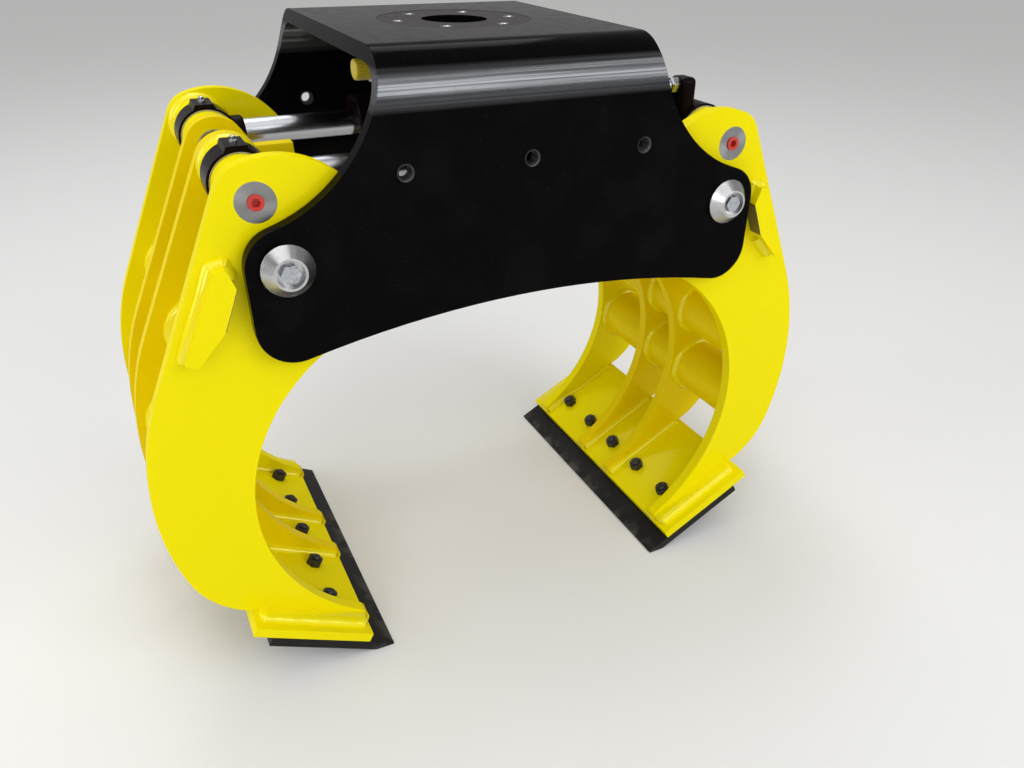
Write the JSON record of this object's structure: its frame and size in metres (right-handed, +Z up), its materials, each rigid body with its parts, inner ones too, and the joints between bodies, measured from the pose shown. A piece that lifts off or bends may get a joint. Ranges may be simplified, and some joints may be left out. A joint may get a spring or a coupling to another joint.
{
  "type": "sorting grapple",
  "caption": "Two-jaw sorting grapple: a folded yoke with a rotator flange carries curved tined jaws with bolted blades, worked by level hydraulic cylinders.",
  "frame": {"origin": "on the ground, midway between the two blades", "axes": "+X towards the right jaw, +Y along the pivots to the rear, +Z up through the rotator flange"},
  "size_m": [1.1034, 0.557, 0.9111],
  "materials": {
    "yoke_black": "gloss black paint with fine dust and scratches",
    "jaw_yellow": "gloss yellow paint over welded plate",
    "blade_black": "black painted wear steel",
    "cylinder_black": "black satin paint",
    "rod_chrome": "hard chrome plated rod",
    "pin_steel": "turned steel pin face",
    "cone_steel": "turned steel cone",
    "zinc_steel": "zinc plated",
    "bush_steel": "hardened steel",
    "dark_fastener": "black oxide",
    "plug_red": "red plug",
    "cap_yellow": "yellow ribbed dust cap"
  },
  "bodies": {
    "yoke": {"yoke_frame": "yoke_black", "left_pivot_pin": "pin_steel", "right_pivot_pin": "pin_steel", "pivot_cone_washers": "cone_steel", "pivot_bolts": "zinc_steel", "thrust_washers": "bush_steel", "coupling_bracket": "yoke_black", "hose_coupling": "zinc_steel", "coupling_cap": "cap_yellow"},
    "left_jaw": {"left_outer_tine_front": "jaw_yellow", "left_outer_tine_rear": "jaw_yellow", "left_inner_tine_front": "jaw_yellow", "left_inner_tine_rear": "jaw_yellow", "left_cross_tubes": "jaw_yellow", "left_pivot_tube": "jaw_yellow", "left_pivot_bushes": "bush_steel", "left_pin_bosses": "jaw_yellow", "left_cylinder_pins": "pin_steel", "left_pin_plugs": "plug_red", "left_pin_keepers": "zinc_steel", "left_stop_lugs": "jaw_yellow", "left_carrier_plate": "jaw_yellow", "left_blade": "blade_black", "left_blade_bolts": "dark_fastener", "left_blade_nuts": "dark_fastener"},
    "right_jaw": {"right_outer_tine_front": "jaw_yellow", "right_outer_tine_rear": "jaw_yellow", "right_inner_tine_front": "jaw_yellow", "right_inner_tine_rear": "jaw_yellow", "right_cross_tubes": "jaw_yellow", "right_pivot_tube": "jaw_yellow", "right_pivot_bushes": "bush_steel", "right_pin_bosses": "jaw_yellow", "right_cylinder_pins": "pin_steel", "right_pin_plugs": "plug_red", "right_pin_keepers": "zinc_steel", "right_stop_lugs": "jaw_yellow", "right_carrier_plate": "jaw_yellow", "right_blade": "blade_black", "right_blade_bolts": "dark_fastener", "right_blade_nuts": "dark_fastener"},
    "front_rod": {"front_rod_eye": "cylinder_black", "front_rod_bush": "bush_steel", "front_rod": "rod_chrome", "front_piston": "bush_steel"},
    "front_barrel": {"front_barrel": "cylinder_black", "front_barrel_bush": "bush_steel", "front_gland": "cylinder_black", "front_port_block": "cylinder_black", "front_port_fitting": "zinc_steel"},
    "rear_rod": {"rear_rod_eye": "cylinder_black", "rear_rod_bush": "bush_steel", "rear_rod": "rod_chrome", "rear_piston": "bush_steel"},
    "rear_barrel": {"rear_barrel": "cylinder_black", "rear_barrel_bush": "bush_steel", "rear_gland": "cylinder_black", "rear_port_block": "cylinder_black", "rear_port_fitting": "zinc_steel"}
  },
  "joints": [
    {"name": "right_jaw_pivot", "type": "hinge", "parent": "yoke", "child": "right_jaw", "pos_m": [0.3333, 0, 0.67264], "axis": [0, 1, 0], "range_deg": [-43, 22.95]},
    {"name": "left_jaw_pivot", "type": "hinge", "parent": "yoke", "child": "left_jaw", "pos_m": [-0.3333, 0, 0.67264], "axis": [0, 1, 0], "range_deg": [-22.95, 43]},
    {"name": "front_barrel_pin", "type": "hinge", "parent": "right_jaw", "child": "front_barrel", "pos_m": [0.3536, -0.13, 0.75044], "axis": [0, 1, 0], "range_deg": [-22.95, 43]},
    {"name": "front_rod_pin", "type": "hinge", "parent": "left_jaw", "child": "front_rod", "pos_m": [-0.3536, -0.13, 0.75044], "axis": [0, 1, 0], "range_deg": [-43, 22.95]},
    {"name": "rear_barrel_pin", "type": "hinge", "parent": "right_jaw", "child": "rear_barrel", "pos_m": [0.3536, 0.13, 0.75044], "axis": [0, 1, 0], "range_deg": [-22.95, 43]},
    {"name": "rear_rod_pin", "type": "hinge", "parent": "left_jaw", "child": "rear_rod", "pos_m": [-0.3536, 0.13, 0.75044], "axis": [0, 1, 0], "range_deg": [-43, 22.95]}
  ],
  "couplings": [
    {"joint": "left_jaw_pivot", "follows": "right_jaw_pivot", "ratio": -1},
    {"joint": "front_barrel_pin", "follows": "right_jaw_pivot", "ratio": -1},
    {"joint": "front_rod_pin", "follows": "right_jaw_pivot", "ratio": 1},
    {"joint": "rear_barrel_pin", "follows": "right_jaw_pivot", "ratio": -1},
    {"joint": "rear_rod_pin", "follows": "right_jaw_pivot", "ratio": 1}
  ]
}
